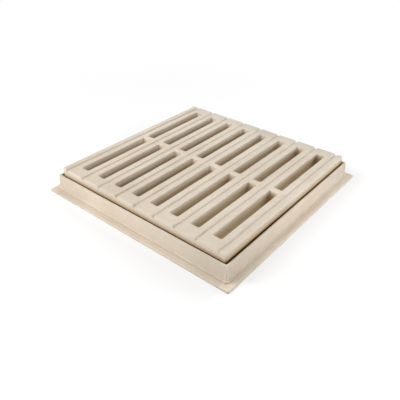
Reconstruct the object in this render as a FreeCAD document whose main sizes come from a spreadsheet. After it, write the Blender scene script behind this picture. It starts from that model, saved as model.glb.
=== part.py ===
import FreeCAD, Part
import Sketcher
import math
import os

# Gully grate: a moulded plastic grate that rests in a moulded square frame.
# Millimetres, Z up. The origin is the centre of the frame's underside.
# The slots are long in Y. A row of slots runs along X.

SIZES = [
    ("grate_side", "270", "Side of the grate, at the foot of its skirt"),
    ("grate_height", "31.8", "Height of the grate"),
    ("grate_corner", "3", "Radius of the grate's upright corners"),
    ("top_round", "1", "Radius of the grate's outer top edge"),
    ("top_plate", "4.2", "Thickness of the grate's top"),
    ("skirt_wall", "3.2", "Thickness of the skirt"),
    ("skirt_corner", "1.5", "Radius of the skirt's inside corners"),
    ("side_draft", "1", "Draft of the skirt, in degrees"),
    ("slot_columns", "8", "Slots side by side in a row"),
    ("side_border", "9.5", "Top surface between the outermost groove and the edge"),
    ("end_border", "16.8", "Top surface between a slot's outer end and the edge"),
    ("centre_bar", "8.4", "Width of the bar between the two rows of slots"),
    ("slot_width", "12.6", "Width of a slot at the top"),
    ("slot_corner", "2", "Radius of a slot's corners"),
    ("slot_chamfer", "0.5", "Chamfer around the top of a slot"),
    ("web_wall", "2.6", "Thickness of the wall around a slot"),
    ("web_depth", "27", "Depth of the slot walls, from the top"),
    ("groove_width", "4.2", "Width of a groove at the top"),
    ("groove_floor", "1.6", "Width of a groove's floor"),
    ("groove_depth", "2.1", "Depth of a groove"),
    ("notch_width", "5.8", "Width of the notch at a groove's end, at the top"),
    ("notch_floor", "2.6", "Width of a notch's floor"),
    ("notch_depth", "3", "Depth of a notch"),
    ("notch_length", "2.6", "Reach of a notch in from the grate's edge"),
    ("rib_count", "4", "Cross ribs under the grate"),
    ("rib_thick", "2.4", "Thickness of a cross rib"),
    ("rib_depth", "21.4", "Depth of the cross ribs, from the top"),
    ("seat_gap", "1.5", "Play between the skirt's foot and the upstand, each side"),
    ("frame_height", "24.4", "Height of the frame"),
    ("frame_wall", "2.7", "Thickness of the upstand at its rim"),
    ("frame_draft", "4.5", "Draft of the upstand's outer face, in degrees"),
    ("frame_corner", "3", "Radius of the upstand's outer corners"),
    ("opening_corner", "1.5", "Radius of the opening's corners"),
    ("base_thick", "2.9", "Thickness of the flange and of the ledge"),
    ("ledge_width", "8", "Reach of the ledge inside the upstand"),
    ("flange_width", "7.5", "Reach of the flange outside the foot bead"),
    ("flange_corner", "2.5", "Radius of the flange's corners"),
    ("bead_width", "1.2", "Reach of the bead at the upstand's foot"),
    ("bead_height", "2.4", "Height of the bead above the flange"),
    ("rim_chamfer", "0.5", "Chamfer of the rim's edges"),
    ("flange_chamfer", "0.6", "Chamfer of the flange's upper edge"),
]

DERIVED = [
    ("grate_top", "=grate_side - 2 * grate_height * tan(side_draft * 1 deg)"),
    ("skirt_inside", "=grate_side - 2 * skirt_wall"),
    ("hollow_depth", "=grate_height - top_plate"),
    ("slot_pitch", "=(grate_top - 2 * side_border) / slot_columns"),
    ("columns_span", "=(slot_columns - 1) * slot_pitch"),
    ("first_column", "=columns_span / 2"),
    ("slot_length", "=(grate_top - 2 * end_border - centre_bar) / 2"),
    ("rows_span", "=slot_length + centre_bar"),
    ("first_row", "=rows_span / 2"),
    ("web_width", "=slot_width + 2 * web_wall"),
    ("web_length", "=slot_length + 2 * web_wall"),
    ("web_height", "=web_depth - top_plate"),
    ("groove_count", "=slot_columns + 1"),
    ("grooves_span", "=slot_columns * slot_pitch"),
    ("groove_edge", "=(grooves_span - groove_floor) / 2"),
    ("groove_bottom", "=grate_height - groove_depth"),
    ("groove_run", "=groove_width - groove_floor"),
    ("groove_rise", "=2 * groove_depth"),
    ("notch_edge", "=(grooves_span - notch_floor) / 2"),
    ("notch_bottom", "=grate_height - notch_depth"),
    ("notch_run", "=notch_width - notch_floor"),
    ("notch_rise", "=2 * notch_depth"),
    ("notch_start", "=grate_top / 2 - notch_length"),
    ("rib_length", "=grate_top - skirt_wall"),
    ("rib_height", "=rib_depth - top_plate / 2"),
    ("rib_spacing", "=skirt_inside / (rib_count + 1)"),
    ("ribs_span", "=(rib_count - 1) * rib_spacing"),
    ("opening_side", "=grate_side + 2 * seat_gap"),
    ("opening_depth", "=frame_height - base_thick"),
    ("ledge_side", "=opening_side - 2 * ledge_width"),
    ("rim_side", "=opening_side + 2 * frame_wall"),
    ("foot_side", "=rim_side + 2 * opening_depth * tan(frame_draft * 1 deg)"),
    ("bead_side", "=foot_side + 2 * bead_width"),
    ("bead_corner", "=frame_corner + bead_width"),
    ("flange_side", "=bead_side + 2 * flange_width"),
]

SLOT_ROWS = 2
TOUCH = 0.001  # Two places closer than this are the same place.

doc = FreeCAD.newDocument("GullyGrate")
sheet = doc.addObject("Spreadsheet::Sheet", "Sizes")
for row, (alias, number, note) in enumerate(SIZES, 1):
    sheet.set(f"A{row}", note)
    sheet.set(f"B{row}", number)
    sheet.setAlias(f"B{row}", alias)
for row, (alias, formula) in enumerate(DERIVED, len(SIZES) + 2):
    sheet.set(f"A{row}", alias.replace("_", " "))
    sheet.set(f"B{row}", formula)
    sheet.setAlias(f"B{row}", alias)
doc.recompute()


def size(alias):
    return float(sheet.get(alias))


def bind(item, path, alias):
    item.setExpression(path, f"Sizes.{alias}")


def origin_feature(body, role):
    return next(item for item in body.Origin.OriginFeatures if item.Role == role)


def attach(body, item, plane="XY_Plane", height=None):
    item.AttachmentSupport = [(origin_feature(body, plane), "")]
    item.MapMode = "FlatFace"
    if height:
        bind(item, "AttachmentOffset.Base.z", height)


def dimension(sketch, name, alias, kind, *places):
    """A named dimension that follows a cell of the sheet."""
    index = sketch.addConstraint(Sketcher.Constraint(kind, *places, size(alias)))
    sketch.renameConstraint(index, name)
    bind(sketch, f"Constraints.{name}", alias)


def rectangle(body, name, width, length, radius=None, height=None, centre=None):
    """A sketch of a rectangle, with round corners or sharp ones, at a height in the body.

    Every size is the alias of a cell. The rectangle is centred on the
    origin, or on the point whose X and Y are the two cells in centre.
    """
    sketch = body.newObject("Sketcher::SketchObject", name)
    attach(body, sketch, height=height)
    at_x, at_y = [size(alias) for alias in centre] if centre else (0, 0)
    half_x = size(width) / 2
    half_y = size(length) / 2
    bend = size(radius) if radius else 0
    in_x = half_x - bend
    in_y = half_y - bend

    def point(x, y):
        return FreeCAD.Vector(at_x + x, at_y + y, 0)

    side_ends = [
        (point(-in_x, -half_y), point(in_x, -half_y)),
        (point(half_x, -in_y), point(half_x, in_y)),
        (point(in_x, half_y), point(-in_x, half_y)),
        (point(-half_x, in_y), point(-half_x, -in_y)),
    ]
    sides = [sketch.addGeometry(Part.LineSegment(*ends), False) for ends in side_ends]
    for number, side in enumerate(sides):
        level = "Vertical" if number % 2 else "Horizontal"
        sketch.addConstraint(Sketcher.Constraint(level, side))
    if radius:
        arc_centres = [point(in_x, -in_y), point(in_x, in_y), point(-in_x, in_y), point(-in_x, -in_y)]
        arcs = []
        for number, arc_centre in enumerate(arc_centres):
            circle = Part.Circle(arc_centre, FreeCAD.Vector(0, 0, 1), bend)
            start = (number - 1) * math.pi / 2
            arc = sketch.addGeometry(Part.ArcOfCircle(circle, start, start + math.pi / 2), False)
            following = sides[(number + 1) % 4]
            sketch.addConstraint(Sketcher.Constraint("Tangent", sides[number], 2, arc, 1))
            sketch.addConstraint(Sketcher.Constraint("Tangent", arc, 2, following, 1))
            arcs.append(arc)
        for arc in arcs[1:]:
            sketch.addConstraint(Sketcher.Constraint("Equal", arcs[0], arc))
        dimension(sketch, "radius", radius, "Radius", arcs[0])
        opposite = (arcs[0], 3, arcs[2], 3)
    else:
        for number, side in enumerate(sides):
            following = sides[(number + 1) % 4]
            sketch.addConstraint(Sketcher.Constraint("Coincident", side, 2, following, 1))
        opposite = (sides[0], 1, sides[2], 1)
    dimension(sketch, "width", width, "DistanceX", sides[3], 1, sides[1], 1)
    dimension(sketch, "length", length, "DistanceY", sides[0], 1, sides[2], 1)
    if centre:
        middle = sketch.addGeometry(Part.Point(point(0, 0)), True)
        sketch.addConstraint(Sketcher.Constraint("Symmetric", *opposite, middle, 1))
        dimension(sketch, "centre_x", centre[0], "DistanceX", -1, 1, middle, 1)
        dimension(sketch, "centre_y", centre[1], "DistanceY", -1, 1, middle, 1)
    else:
        sketch.addConstraint(Sketcher.Constraint("Symmetric", *opposite, -1, 1))
    return sketch


def trough_section(body, name, kind):
    """The section of a groove or a notch, twice as high as the cut is deep.

    It lies on the grate's middle section, and its sizes are the cells whose
    names begin with the kind of cut.
    """
    sketch = body.newObject("Sketcher::SketchObject", name)
    attach(body, sketch, "XZ_Plane")
    low_left = FreeCAD.Vector(size(f"{kind}_edge"), size(f"{kind}_bottom"), 0)
    low_right = low_left + FreeCAD.Vector(size(f"{kind}_floor"), 0, 0)
    high_right = low_right + FreeCAD.Vector(size(f"{kind}_run"), size(f"{kind}_rise"), 0)
    high_left = low_left + FreeCAD.Vector(-size(f"{kind}_run"), size(f"{kind}_rise"), 0)
    corners = [low_left, low_right, high_right, high_left]
    lines = []
    for number, corner in enumerate(corners):
        line = Part.LineSegment(corner, corners[(number + 1) % 4])
        lines.append(sketch.addGeometry(line, False))
    for number, line in enumerate(lines):
        following = lines[(number + 1) % 4]
        sketch.addConstraint(Sketcher.Constraint("Coincident", line, 2, following, 1))
    floor, right_flank, mouth, left_flank = lines
    sketch.addConstraint(Sketcher.Constraint("Horizontal", floor))
    sketch.addConstraint(Sketcher.Constraint("Horizontal", mouth))
    sketch.addConstraint(Sketcher.Constraint("Equal", right_flank, left_flank))
    dimension(sketch, "edge_x", f"{kind}_edge", "DistanceX", -1, 1, floor, 1)
    dimension(sketch, "bottom_z", f"{kind}_bottom", "DistanceY", -1, 1, floor, 1)
    dimension(sketch, "floor", f"{kind}_floor", "DistanceX", floor, 1, floor, 2)
    dimension(sketch, "run", f"{kind}_run", "DistanceX", right_flank, 1, right_flank, 2)
    dimension(sketch, "rise", f"{kind}_rise", "DistanceY", right_flank, 1, right_flank, 2)
    return sketch


def pad(body, name, sketch, length, draft=None, down=False):
    """Material along the sketch's normal, narrower towards its end by the draft."""
    feature = body.newObject("PartDesign::Pad", name)
    feature.Profile = sketch
    feature.Reversed = down
    bind(feature, "Length", length)
    if draft:
        feature.setExpression("TaperAngle", f"-Sizes.{draft}")
    return feature


def pocket(body, name, sketch, depth=None, draft=None, up=False):
    """A cut down from the sketch, or up, to a depth or right through."""
    feature = body.newObject("PartDesign::Pocket", name)
    feature.Profile = sketch
    feature.Reversed = up
    if depth:
        bind(feature, "Length", depth)
    else:
        feature.Type = "ThroughAll"
    if draft:
        feature.setExpression("TaperAngle", f"-Sizes.{draft}")
    return feature


def pattern(body, name, feature, axis, span, count):
    """Copies of a feature, from its own place back along an axis of the body."""
    copies = body.newObject("PartDesign::LinearPattern", name)
    copies.Originals = [feature]
    copies.Direction = (origin_feature(body, axis), [""])
    copies.Reversed = True
    bind(copies, "Length", span)
    bind(copies, "Occurrences", count)
    body.Tip = copies
    return copies


def slot_pattern(body, name, feature):
    """What the first slot has, at every slot of both rows."""
    copies = pattern(body, name, feature, "X_Axis", "columns_span", "slot_columns")
    copies.Direction2 = (origin_feature(body, "Y_Axis"), [""])
    copies.Reversed2 = True
    bind(copies, "Length2", "rows_span")
    copies.Occurrences2 = SLOT_ROWS


def ends_at(edge, height):
    """How many ends of an edge are at a height in the body."""
    return sum(abs(end.Z - height) < TOUCH for end in edge.Vertexes)


def reach(edge):
    """How far the edge's nearest end is from the middle of the square."""
    return min(max(abs(end.X), abs(end.Y)) for end in edge.Vertexes)


def dress(body, kind, name, value, alias, wanted):
    """Round or chamfer the edges of the body so far that pass a test."""
    doc.recompute()
    base = body.Tip
    edges = [f"Edge{number}" for number, edge in enumerate(base.Shape.Edges, 1) if wanted(edge)]
    feature = body.newObject(f"PartDesign::{kind}", name)
    feature.Base = (base, edges)
    feature.SupportTransform = True
    bind(feature, value, alias)
    return feature


def make_frame():
    """Square frame: a flange and a ledge in one plate, with an upstand between them."""
    body = doc.addObject("PartDesign::Body", "frame")
    flange = rectangle(body, "FlangeOutline", "flange_side", "flange_side", "flange_corner")
    pad(body, "Flange", flange, "base_thick")
    bead = rectangle(body, "BeadOutline", "bead_side", "bead_side", "bead_corner", "base_thick")
    pad(body, "FootBead", bead, "bead_height")
    foot = rectangle(body, "FootOutline", "foot_side", "foot_side", "frame_corner", "base_thick")
    pad(body, "Upstand", foot, "opening_depth", draft="frame_draft")
    opening = rectangle(
        body, "OpeningOutline", "opening_side", "opening_side", "opening_corner", "frame_height"
    )
    pocket(body, "Opening", opening, "opening_depth")
    ledge = rectangle(
        body, "LedgeOutline", "ledge_side", "ledge_side", "opening_corner", "base_thick"
    )
    pocket(body, "LedgeOpening", ledge)
    rim = size("frame_height")
    dress(body, "Chamfer", "RimEdges", "Size", "rim_chamfer", lambda edge: ends_at(edge, rim) == 2)
    deck = size("base_thick")
    outside = size("bead_side") / 2 + TOUCH
    dress(
        body, "Chamfer", "FlangeEdge", "Size", "flange_chamfer",
        lambda edge: ends_at(edge, deck) == 2 and reach(edge) > outside,
    )
    return body


def make_grate():
    """Square grate: a hollow shell, two rows of walled slots, and ribs beneath."""
    body = doc.addObject("PartDesign::Body", "grate")
    top = size("grate_height")
    first_slot = ("first_column", "first_row")
    slot_area = size("first_row") + size("web_length") / 2 + TOUCH

    skirt = rectangle(body, "SkirtOutline", "grate_side", "grate_side", "grate_corner")
    pad(body, "Block", skirt, "grate_height", draft="side_draft")
    dress(body, "Fillet", "TopRound", "Radius", "top_round", lambda edge: ends_at(edge, top) == 2)
    hollow = rectangle(body, "HollowOutline", "skirt_inside", "skirt_inside", "skirt_corner")
    pocket(body, "Hollow", hollow, "hollow_depth", draft="side_draft", up=True)

    web_outline = rectangle(
        body, "WebOutline", "web_width", "web_length", height="hollow_depth", centre=first_slot
    )
    web = pad(body, "Web", web_outline, "web_height", down=True)
    slot_pattern(body, "Webs", web)

    rib = body.newObject("PartDesign::AdditiveBox", "Rib")
    attach(body, rib)
    bind(rib, "Length", "rib_length")
    bind(rib, "Width", "rib_thick")
    bind(rib, "Height", "rib_height")
    rib.setExpression("AttachmentOffset.Base.x", "-Sizes.rib_length / 2")
    rib.setExpression("AttachmentOffset.Base.y", "(Sizes.ribs_span - Sizes.rib_thick) / 2")
    rib.setExpression("AttachmentOffset.Base.z", "Sizes.grate_height - Sizes.rib_depth")
    pattern(body, "Ribs", rib, "Y_Axis", "ribs_span", "rib_count")

    slot_outline = rectangle(
        body, "SlotOutline", "slot_width", "slot_length", "slot_corner", "grate_height", first_slot
    )
    pocket(body, "Slot", slot_outline)
    slot = dress(
        body, "Chamfer", "SlotEdge", "Size", "slot_chamfer",
        lambda edge: ends_at(edge, top) == 2 and reach(edge) < slot_area,
    )
    slot_pattern(body, "Slots", slot)

    groove = pocket(body, "Groove", trough_section(body, "GrooveSection", "groove"))
    groove.Midplane = True
    pattern(body, "Grooves", groove, "X_Axis", "grooves_span", "groove_count")
    for end, sign in (("Front", ""), ("Back", "-")):
        section = trough_section(body, f"{end}NotchSection", "notch")
        section.setExpression("AttachmentOffset.Base.z", f"{sign}Sizes.notch_start")
        notch = pocket(body, f"{end}Notch", section, up=end == "Front")
        pattern(body, f"{end}Notches", notch, "X_Axis", "grooves_span", "groove_count")
    body.setExpression("Placement.Base.z", "Sizes.base_thick")
    return body


subparts = [make_frame(), make_grate()]
doc.recompute()

for item in doc.Objects:
    if "Invalid" in item.State or "Error" in item.State:
        raise RuntimeError(f"{item.Label} failed: {item.State}")
for body in subparts:
    if body.Shape.isNull() or not body.Shape.isValid():
        raise RuntimeError(f"{body.Label} has no valid shape")

os.makedirs("parts", exist_ok=True)
for body in subparts:
    body.Shape.exportStep(f"parts/{body.Label}.step")
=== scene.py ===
import math

import bpy
from mathutils import Matrix, Vector

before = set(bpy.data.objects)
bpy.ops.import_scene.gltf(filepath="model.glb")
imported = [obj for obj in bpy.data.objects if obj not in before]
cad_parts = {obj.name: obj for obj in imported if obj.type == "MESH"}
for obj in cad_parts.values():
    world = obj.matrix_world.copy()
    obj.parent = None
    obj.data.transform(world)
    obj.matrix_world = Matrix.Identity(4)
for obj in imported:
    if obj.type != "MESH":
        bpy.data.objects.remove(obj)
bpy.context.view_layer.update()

# A gully grate of sand-coloured plastic that lies in its square frame. The solids carry
# every form, so the looks are the softened mould edges, the plastic itself with painted light
# and shade in its colour, a soft studio light, a floor and the camera.

# Colours are linear, lengths are in metres and angles in degrees.
WHITE = (1, 1, 1)
BLACK = (0, 0, 0)

# The plastic: clouds of three sands, rosy and greenish flecks, and fine dark specks.
SAND = (0.746, 0.645, 0.523)
SAND_DEEP = (0.696, 0.593, 0.469)
SAND_PALE = (0.787, 0.689, 0.567)
SPECK_GREEN = (0.975, 1.0, 0.985)
SPECK_ROSE = (1.0, 0.97, 0.985)
SPECK_DARK = (0.88, 0.875, 0.865)
CLOUD_SCALE, FLECK_SCALE, SPECK_SCALE, GRAIN_SCALE = 16, 95, 700, 1400
GRAIN_STRENGTH = 0.25
GRAIN_HEIGHT = 0.0001
ROUGHNESS = 0.48

# Painted light and shade: what the colour is multiplied by in single places.
END_PALE = (1.14, 1.14, 1.14)
GROOVE_PALE = (1.03, 1.06, 1.10)
NOTCH_PALE = (1.12, 1.14, 1.17)
EDGE_DULL = (0.92, 0.955, 0.99)
BORDER_DULL = (0.966, 0.974, 0.975)
FLANGE_PALE = (1.025, 1.035, 1.045)

# Places on the object.
ROW_STEP = 0.121845
SLOTS_REACH = 0.125
SKIRT_REACH = 0.13395
OPENING_REACH = 0.13640
BEAD_REACH = 0.14215
TOP_LEVEL = 0.0335
FLANGE_LEVEL = 0.0034
NOTCH_ALONG = (0.1312, 0.1342)
NOTCH_LEVELS = (0.0312, 0.0343)

# The spans that the colour ramps cover.
UNIT = (0, 1)
GRATE_LEVELS = (0, 0.035)
FRAME_LEVELS = (0, 0.025)
BEAD_LEVELS = (0, 0.01)
GRATE_SPAN = (-0.14, 0.14)
FRAME_SPAN = (-0.15, 0.15)
HALF_DEPTH = (0, 0.14)
BORDER_SPAN = (0.10, 0.14)
CORNER_SPAN = (0.04, 0.15)
FLANGE_SPAN = (0.140, 0.150)

# A face looks along an axis when its normal has more than this of it.
FACING = 0.5

# The sharp edges are rounded as a mould leaves them.
EDGE_ROUND = {"grate": 0.00045, "frame": 0.00040}
EDGE_ANGLE = 24
FLAT_ANGLE = 0.4
WELD_GAP = 0.000002

# The camera's place and turn were found from the corners of the frame and the ends of the slots.
FOCAL_LENGTH = 41.348
SENSOR = 36
AZIMUTH = 39.246
ELEVATION = 34.402
ROLL = 0.483
EYE = (0.33584, -0.42397, 0.34242)

# The floor's glow for the camera: none under the object, little beside it, all of it far off.
FLOOR_REACH = 4.0
FADE_START = 0.24
FADE_END = 0.60
FADE_LEAST = 0.35
UNDER_REACH = 0.135
FLOOR_SEEN = (1, 1, 1, 1)
FLOOR_BOUNCED = (0.85, 0.84, 0.83, 1)

WORLD_LIGHT = 0.02
WORLD_SEEN = 1.0

# Name, azimuth, elevation, distance, size and power.
LIGHTS = (
    ("right", 45, 15, 1.1, 0.55, 4.6),
    ("rear", 135, 15, 2.0, 0.9, 7.6),
    ("side", 0, 40, 1.6, 0.8, 3.3),
    ("back", 90, 40, 1.6, 0.8, 9.1),
    ("left", 225, 40, 1.6, 0.8, 15.1),
    ("near", 270, 40, 1.6, 0.8, 5.6),
    ("close_right", 0, 20, 0.6, 0.3, 0.65),
    ("close_front", 240, 20, 0.6, 0.3, 0.60),
)
LIGHTS_AIM = (0, 0, 0.02)


def rounded(node, width):
    """Welds the imported faces, joins the flat ones and rounds the sharp edges."""
    weld = node.modifiers.new("weld", "WELD")
    weld.merge_threshold = WELD_GAP
    flat = node.modifiers.new("flat", "DECIMATE")
    flat.decimate_type = "DISSOLVE"
    flat.angle_limit = math.radians(FLAT_ANGLE)
    edge = node.modifiers.new("edge", "BEVEL")
    edge.width = width
    edge.segments = 2
    edge.limit_method = "ANGLE"
    edge.angle_limit = math.radians(EDGE_ANGLE)
    edge.use_clamp_overlap = True
    shade = node.modifiers.new("shade", "WEIGHTED_NORMAL")
    shade.keep_sharp = True
    for face in node.data.polygons:
        face.use_smooth = True


class Graph:
    """A node tree, with short ways to add nodes and join them."""

    def __init__(self, tree):
        self.nodes = tree.nodes
        self.links = tree.links

    def add(self, kind, inputs, **settings):
        """A node whose inputs take plain values or the outputs of other nodes."""
        node = self.nodes.new(f"ShaderNode{kind}")
        for name, value in settings.items():
            setattr(node, name, value)
        for place, value in inputs.items():
            if isinstance(value, bpy.types.NodeSocket):
                self.links.new(value, node.inputs[place])
            else:
                node.inputs[place].default_value = value
        return node

    def axes(self, vector):
        return list(self.add("SeparateXYZ", {0: vector}).outputs)

    def math(self, operation, *values):
        return self.add("Math", dict(enumerate(values)), operation=operation).outputs[0]

    def above(self, value, limit):
        return self.math("GREATER_THAN", value, limit)

    def below(self, value, limit):
        return self.math("LESS_THAN", value, limit)

    def both(self, first, second):
        return self.math("MULTIPLY", first, second)

    def between(self, value, limits):
        low, high = limits
        return self.both(self.above(value, low), self.below(value, high))


class Plastic(Graph):
    """Moulded sand plastic: faint clouds, flecks and fine specks, an even sheen and a fine grain.

    Width, depth and height are the place on the object. Across and along are
    how far it is from the middle in X and in Y, and reach is the larger.
    """

    def __init__(self, name):
        self.material = bpy.data.materials.new(name)
        self.material.use_nodes = True
        super().__init__(self.material.node_tree)
        self.shader = self.nodes["Principled BSDF"]
        source = self.add("TexCoord", {})
        self.facing_x, self.facing_y, _ = self.axes(source.outputs["Normal"])
        self.place = source.outputs["Object"]
        self.width, self.depth, self.height = self.axes(self.place)
        self.across = self.math("ABSOLUTE", self.width)
        self.along = self.math("ABSOLUTE", self.depth)
        self.reach = self.math("MAXIMUM", self.across, self.along)

        clouds = [(0.32, SAND_DEEP), (0.50, SAND), (0.68, SAND_PALE)]
        self.colour = self.ramp(self.noise(CLOUD_SCALE, 3), UNIT, clouds)
        flecks = [(0.36, SPECK_GREEN), (0.50, WHITE), (0.64, SPECK_ROSE)]
        self.shade(self.noise(FLECK_SCALE, 2), UNIT, flecks)
        self.shade(self.noise(SPECK_SCALE, 2), UNIT, [(0.30, SPECK_DARK), (0.70, WHITE)])
        grain = self.add("Bump", {
            "Strength": GRAIN_STRENGTH,
            "Distance": GRAIN_HEIGHT,
            "Height": self.noise(GRAIN_SCALE, 2),
        })
        self.links.new(grain.outputs["Normal"], self.shader.inputs["Normal"])
        self.shader.inputs["Roughness"].default_value = ROUGHNESS

    def noise(self, scale, detail):
        texture = self.add("TexNoise", {"Scale": scale, "Detail": detail, "Vector": self.place})
        return texture.outputs["Fac"]

    def ramp(self, value, span, stops):
        """A colour for each value: the span and the stops are in the value's own unit."""
        low, high = span
        table = self.add("ValToRGB", {})
        elements = table.color_ramp.elements
        elements.remove(elements[1])
        for index, (place, colour) in enumerate(stops):
            position = (place - low) / (high - low)
            element = elements.new(position) if index else elements[0]
            element.position = position
            element.color = (*colour, 1)
        if span != UNIT:
            scaled = self.add("MapRange", {"From Min": low, "From Max": high, "Value": value})
            value = scaled.outputs["Result"]
        self.links.new(value, table.inputs["Fac"])
        return table.outputs["Color"]

    def multiply(self, shade, where=1):
        """Multiplies the colour by a shade, everywhere or in one region."""
        inputs = {"Factor": where, "A": self.colour, "B": shade}
        blend = self.add("Mix", inputs, data_type="RGBA", blend_type="MULTIPLY")
        self.colour = blend.outputs["Result"]

    def tint(self, colour, where):
        """Multiplies the colour by another one in one region."""
        constant = self.nodes.new("ShaderNodeRGB")
        constant.outputs[0].default_value = (*colour, 1)
        self.multiply(constant.outputs[0], where)

    def shade(self, value, span, stops, where=1):
        """Multiplies the colour by a ramp over a value, everywhere or in one region."""
        self.multiply(self.ramp(value, span, stops), where)

    def finish(self):
        self.links.new(self.colour, self.shader.inputs["Base Color"])
        return self.material


def painted_browns(*stops):
    """Painted shade: the darker levels are browner."""
    return [(place, (level, level ** 1.35, level ** 2.05)) for place, level in stops]


def greys(*stops):
    return [(place, (level, level, level)) for place, level in stops]


def shade_slots(plastic):
    """The slots: painted shade deep down, painted light on the walls of the slots on the right and
    on the end walls, and at the far ends painted light on the left and painted shade on the right.
    """
    # Painted shade: the whole grate is darker and browner deep down.
    depth_shade = painted_browns(
        (0.016, 1), (0.0205, 0.72), (0.0250, 0.76), (0.0275, 0.88),
        (0.0290, 0.965), (0.0312, 0.985), (0.0335, 1),
    )
    plastic.shade(plastic.height, GRATE_LEVELS, depth_shade)
    facing_along = plastic.above(plastic.math("ABSOLUTE", plastic.facing_y), FACING)
    within = plastic.below(plastic.reach, SLOTS_REACH)

    # Painted light: the walls of the slots on the right are lighter deep down, until near their
    # far ends.
    run = plastic.math("MODULO", plastic.math("ADD", plastic.depth, ROW_STEP), ROW_STEP)
    run_span = (0, ROW_STEP)
    rightward = greys((-0.025, 0), (0.0093, 0.32), (0.0406, 0.60), (0.0718, 0.74), (0.103, 1))
    rightward = plastic.ramp(plastic.width, GRATE_SPAN, rightward)
    before_end = plastic.ramp(run, run_span, greys((0.098, 1), (0.113, 0.35), (0.1165, 0)))
    right_wall_light = [
        (0.0200, (1.55, 1.68, 1.83)), (0.0250, (1.45, 1.56, 1.68)),
        (0.0276, (0.95, 0.97, 0.94)), (0.0303, (0.93, 0.94, 0.91)), (0.0325, WHITE),
    ]
    right_wall_light_mask = plastic.both(within, plastic.both(rightward, before_end))
    plastic.shade(plastic.height, GRATE_LEVELS, right_wall_light, right_wall_light_mask)

    # At their far ends the slots on the left get painted light, and those on the right a painted
    # brown shade.
    at_end = plastic.both(within, plastic.ramp(run, run_span, greys((0.1075, 0), (0.113, 1))))
    leftward = plastic.ramp(plastic.width, GRATE_SPAN, greys((0.01, 1), (0.04, 0)))
    half_on_ends = plastic.math("ADD", plastic.both(facing_along, -0.5), 1.0)
    left_tip_light = [
        (0.0260, (1.10, 1.12, 1.15)), (0.0285, (1.21, 1.26, 1.33)), (0.0310, (1.21, 1.26, 1.33)),
        (0.0325, (1.05, 1.06, 1.08)), (0.0335, WHITE),
    ]
    left_end = plastic.both(plastic.both(at_end, leftward), half_on_ends)
    plastic.shade(plastic.height, GRATE_LEVELS, left_tip_light, left_end)
    far_right = plastic.ramp(plastic.width, GRATE_SPAN, greys((0.055, 0), (0.10, 1)))
    right_tip_shade = painted_browns((0.0290, 0.80), (0.0310, 0.87), (0.0325, 1))
    plastic.shade(plastic.height, GRATE_LEVELS, right_tip_shade, plastic.both(at_end, far_right))
    # Painted light on the faces that look along Y within the slots, the end walls.
    plastic.tint(END_PALE, plastic.both(facing_along, plastic.below(plastic.along, SLOTS_REACH)))


def shade_top(plastic):
    """The top: painted light in the grooves and notches, and painted shade on the border and
    towards the back edge.
    """
    # Painted light in the grooves.
    grooves = [(0.0318, WHITE), (0.0322, GROOVE_PALE), (0.0340, GROOVE_PALE), (0.0346, WHITE)]
    plastic.shade(plastic.height, GRATE_LEVELS, grooves)
    # Painted light in the notches at the ends of the grooves.
    notch = plastic.both(
        plastic.between(plastic.along, NOTCH_ALONG), plastic.between(plastic.height, NOTCH_LEVELS)
    )
    plastic.tint(NOTCH_PALE, notch)
    # Painted shade on the border of the top.
    border = [(0.113, WHITE), (0.122, BORDER_DULL)]
    plastic.shade(plastic.reach, BORDER_SPAN, border, plastic.above(plastic.height, TOP_LEVEL))
    # Painted shade, slightly cool, towards the back edge of the grate.
    plastic.shade(plastic.depth, HALF_DEPTH, [(0.112, WHITE), (0.132, EDGE_DULL)])


def shade_seam(plastic):
    """The skirt beside the frame: painted shade in the seam, and a stronger painted shade on the
    front half of the two sides.
    """
    # Painted shade: the two ends of the skirt are dark brown in the seam.
    ends = plastic.above(plastic.along, SKIRT_REACH)
    seam_shade = painted_browns((0.017, 1), (0.020, 0.08), (0.0229, 0.08), (0.0238, 0.92), (0.0250, 1))
    plastic.shade(plastic.height, GRATE_LEVELS, seam_shade, ends)
    # Painted shade: the two sides are dark in the seam and a little darker up to the top.
    sides = plastic.above(plastic.across, SKIRT_REACH)
    seam_shade = painted_browns(
        (0.017, 1), (0.020, 0.30), (0.0236, 0.30), (0.0244, 0.80),
        (0.0258, 0.90), (0.0325, 0.91), (0.0338, 1),
    )
    plastic.shade(plastic.height, GRATE_LEVELS, seam_shade, sides)
    # Painted shade on the front half of the two sides.
    side_shade = painted_browns(
        (0.020, 0.34), (0.0236, 0.40), (0.0252, 0.72), (0.0275, 0.92), (0.0325, 0.95), (0.0338, 1)
    )
    front_half = plastic.ramp(plastic.depth, GRATE_SPAN, [(-0.05, WHITE), (0.0, BLACK)])
    plastic.shade(plastic.height, GRATE_LEVELS, side_shade, plastic.both(sides, front_half))


def grate_plastic():
    plastic = Plastic("grate_plastic")
    shade_slots(plastic)
    shade_top(plastic)
    shade_seam(plastic)
    return plastic.finish()


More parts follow.
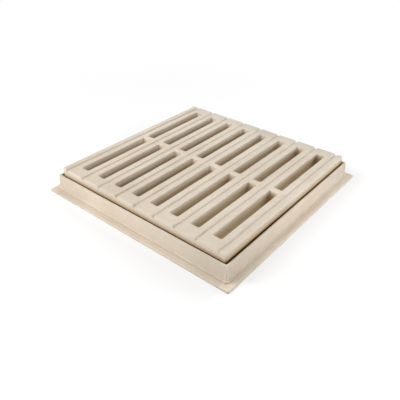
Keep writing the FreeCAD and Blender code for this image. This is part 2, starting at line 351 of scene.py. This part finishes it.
def frame_plastic():
    plastic = Plastic("frame_plastic")
    # Painted shade on the inner face of the upstand, in the seam.
    inner_seam_shade = painted_browns((0.004, 1), (0.018, 0.4), (0.0228, 0.3), (0.0237, 1))
    plastic.shade(plastic.height, FRAME_LEVELS, inner_seam_shade, plastic.below(plastic.reach, OPENING_REACH))
    # Painted shade on the outer walls towards the corners, a painted highlight on the corner edges
    # and a darker flange corner tip, and painted light and shade along the two near sides.
    corner = greys(
        (0.05, 1), (0.09, 0.98), (0.125, 0.93), (0.1365, 0.90),
        (0.1388, 1.08), (0.1396, 0.99), (0.1474, 0.99), (0.1488, 0.72),
    )
    to_corner = plastic.math("MINIMUM", plastic.across, plastic.along)
    plastic.shade(to_corner, CORNER_SPAN, corner)
    front = greys(
        (-0.13, 0.98), (-0.10, 1.0), (-0.055, 1.05), (-0.025, 1.045),
        (0.0, 1.0), (0.05, 0.975), (0.09, 0.95), (0.13, 0.945),
    )
    plastic.shade(plastic.width, FRAME_SPAN, front, plastic.below(plastic.facing_y, -FACING))
    right = greys(
        (-0.13, 0.955), (-0.08, 0.975), (-0.05, 1.0), (-0.02, 1.035), (0.045, 1.055),
        (0.062, 1.01), (0.085, 0.96), (0.105, 0.975), (0.13, 1.0),
    )
    plastic.shade(plastic.depth, FRAME_SPAN, right, plastic.above(plastic.facing_x, FACING))
    # Painted shade on the flange beside the bead and on its outer edge face, painted light towards
    # that edge, and painted light over the whole flange.
    on_flange = plastic.below(plastic.height, FLANGE_LEVEL)
    flange = greys(
        (0.1421, 0.94), (0.1435, 0.97), (0.1460, 0.99),
        (0.1482, 1.03), (0.1490, 1.03), (0.1494, 0.90),
    )
    plastic.shade(plastic.reach, FLANGE_SPAN, flange, on_flange)
    plastic.tint(FLANGE_PALE, on_flange)
    # Painted shade low on the bead where it meets the flange, and a painted highlight along its
    # top edge.
    bead = greys((0.0029, 0.86), (0.0044, 0.92), (0.0050, 1), (0.0053, 1.07), (0.0057, 1))
    plastic.shade(plastic.height, BEAD_LEVELS, bead, plastic.below(plastic.reach, BEAD_REACH))
    return plastic.finish()


def paper_material():
    """White paper: the camera sees it take a shadow nearby and be pure white far off."""
    paper = bpy.data.materials.new("paper")
    paper.use_nodes = True
    graph = Graph(paper.node_tree)
    graph.nodes.clear()
    spot = graph.add("TexCoord", {}).outputs["Object"]
    distance = graph.add("VectorMath", {0: spot}, operation="LENGTH").outputs["Value"]
    fade_inputs = {
        "Value": distance, "From Min": FADE_START, "From Max": FADE_END, "To Min": FADE_LEAST,
    }
    fade = graph.add("MapRange", fade_inputs, interpolation_type="SMOOTHSTEP").outputs["Result"]
    spot_x, spot_y, _ = graph.axes(spot)
    spot_reach = graph.math(
        "MAXIMUM", graph.math("ABSOLUTE", spot_x), graph.math("ABSOLUTE", spot_y)
    )
    glow = graph.both(fade, graph.above(spot_reach, UNDER_REACH))
    shadowed = graph.add("BsdfDiffuse", {"Color": FLOOR_SEEN}).outputs[0]
    white = graph.add("Emission", {}).outputs[0]
    seen = graph.add("MixShader", {"Fac": glow, 1: shadowed, 2: white}).outputs[0]
    bounced = graph.add("BsdfDiffuse", {"Color": FLOOR_BOUNCED}).outputs[0]
    camera_ray = graph.add("LightPath", {}).outputs["Is Camera Ray"]
    either = graph.add("MixShader", {"Fac": camera_ray, 1: bounced, 2: seen}).outputs[0]
    graph.add("OutputMaterial", {"Surface": either})
    return paper


def add_object(name, data):
    item = bpy.data.objects.new(name, data)
    bpy.context.scene.collection.objects.link(item)
    return item


def area_light(name, azimuth, elevation, distance, size, power):
    """A square light on a sphere around the object, turned to it."""
    lamp = bpy.data.lights.new(name, "AREA")
    lamp.size = size
    lamp.energy = power
    around, above = math.radians(azimuth), math.radians(elevation)
    level = distance * math.cos(above)
    place = Vector((
        level * math.cos(around), level * math.sin(around), distance * math.sin(above)
    ))
    light = add_object(name, lamp)
    light.location = place
    light.rotation_euler = (Vector(LIGHTS_AIM) - place).to_track_quat("-Z", "Y").to_euler()


for node_name, make_plastic in (("grate", grate_plastic), ("frame", frame_plastic)):
    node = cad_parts[node_name]
    rounded(node, EDGE_ROUND[node_name])
    node.data.materials.clear()
    node.data.materials.append(make_plastic())

# Camera
azimuth, elevation, roll = (math.radians(angle) for angle in (AZIMUTH, ELEVATION, ROLL))
level = math.cos(elevation)
back = Vector((math.sin(azimuth) * level, -math.cos(azimuth) * level, math.sin(elevation)))
level_right = Vector((math.cos(azimuth), math.sin(azimuth), 0))
level_up = back.cross(level_right)
right = level_right * math.cos(roll) + level_up * math.sin(roll)
up = level_up * math.cos(roll) - level_right * math.sin(roll)
camera_data = bpy.data.cameras.new("camera")
camera_data.lens = FOCAL_LENGTH
camera_data.sensor_width = SENSOR
camera = add_object("camera", camera_data)
turn = Matrix((right, up, back)).transposed().to_4x4()
camera.matrix_world = Matrix.Translation(EYE) @ turn
bpy.context.scene.camera = camera

# Floor
floor_mesh = bpy.data.meshes.new("floor")
corners = [(x * FLOOR_REACH, y * FLOOR_REACH, 0) for x, y in ((-1, -1), (1, -1), (1, 1), (-1, 1))]
floor_mesh.from_pydata(corners, [], [(0, 1, 2, 3)])
floor_mesh.materials.append(paper_material())
floor = add_object("floor", floor_mesh)

# World
world = bpy.data.worlds.new("studio")
bpy.context.scene.world = world
world.use_nodes = True
sky = Graph(world.node_tree)
camera_ray = sky.add("LightPath", {}).outputs["Is Camera Ray"]
strength = sky.add("Mix", {"Factor": camera_ray, "A": WORLD_LIGHT, "B": WORLD_SEEN})
background = sky.nodes["Background"]
background.inputs["Color"].default_value = (1, 1, 1, 1)
sky.links.new(strength.outputs["Result"], background.inputs["Strength"])

for light in LIGHTS:
    area_light(*light)

bpy.context.scene.view_settings.view_transform = "Standard"
